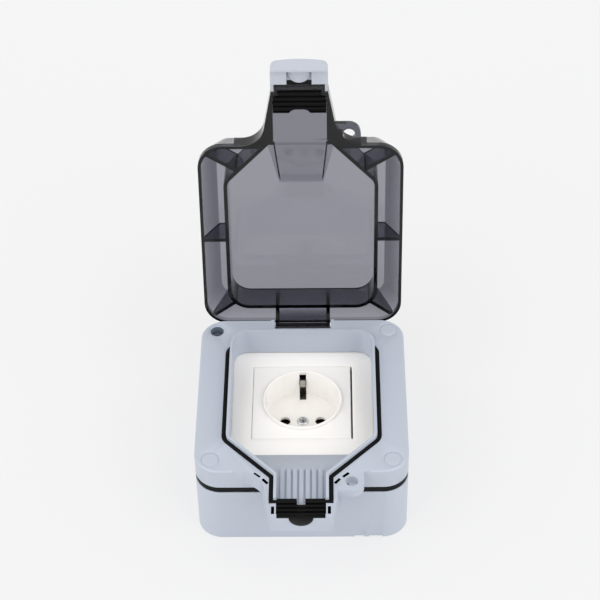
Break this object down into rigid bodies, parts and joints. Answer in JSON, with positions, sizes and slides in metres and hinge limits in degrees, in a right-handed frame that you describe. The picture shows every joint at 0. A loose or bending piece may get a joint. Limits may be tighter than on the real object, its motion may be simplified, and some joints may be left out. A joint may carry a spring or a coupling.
{
  "type": "surface mounted socket",
  "caption": "Weatherproof wall box with an earthed socket behind a hinged smoke-tinted lid, a ribbed cable spout with rubber seals and a latch clip.",
  "frame": {"origin": "centre of the wall face of the box", "axes": "+Z out of the wall, +Y towards the hinge, -Y towards the cable spout"},
  "size_m": [0.109, 0.1842, 0.1975],
  "materials": {
    "box_grey": "fine matte",
    "gasket_black": "matte",
    "grommet_grey": "matte",
    "frame_grey": "fine matte",
    "seal_black": "matte",
    "spout_rubber": "matte",
    "screw_steel": "turned",
    "cap_grey": "fine matte",
    "cover_white": "satin",
    "plate_white": "satin",
    "plate_screw_steel": "turned",
    "base_cream": "matte",
    "contact_brass": "stamped",
    "earth_plated": "plated strip",
    "clamp_plated": "plated",
    "terminal_plated": "plated",
    "strap_zinc": "zinc plated",
    "strap_screw_zinc": "zinc plated",
    "hinge_pin_steel": "drawn",
    "lid_smoke": "smoke tinted, clear",
    "lid_rubber": "matte",
    "latch_pin_steel": "drawn",
    "latch_grey": "satin"
  },
  "bodies": {
    "box": {"back_box": "box_grey", "frame_gasket": "gasket_black", "entry_grommet": "grommet_grey", "top_frame": "frame_grey", "collar_seal": "seal_black", "spout_seal": "spout_rubber", "frame_screws": "screw_steel", "screw_caps": "cap_grey", "cover_frame": "cover_white", "centre_plate": "plate_white", "plate_screw": "plate_screw_steel", "socket_base": "base_cream", "pin_contacts": "contact_brass", "earth_bracket": "earth_plated", "terminal_clamps": "clamp_plated", "terminal_screws": "terminal_plated", "mounting_strap": "strap_zinc", "strap_screws": "strap_screw_zinc", "hinge_pin": "hinge_pin_steel"},
    "lid": {"lid_shell": "lid_smoke", "lid_seal": "lid_rubber", "latch_pin": "latch_pin_steel"},
    "latch": {"latch_clip": "latch_grey"}
  },
  "joints": [
    {"name": "lid_hinge", "type": "hinge", "parent": "box", "child": "lid", "pos_m": [0, 0.0552, 0.0436], "axis": [1, 0, 0], "range_deg": [0, 100]},
    {"name": "latch_pivot", "type": "hinge", "parent": "lid", "child": "latch", "pos_m": [0, 0.08998, 0.18267], "axis": [1, 0, 0], "range_deg": [-20, 80]}
  ]
}
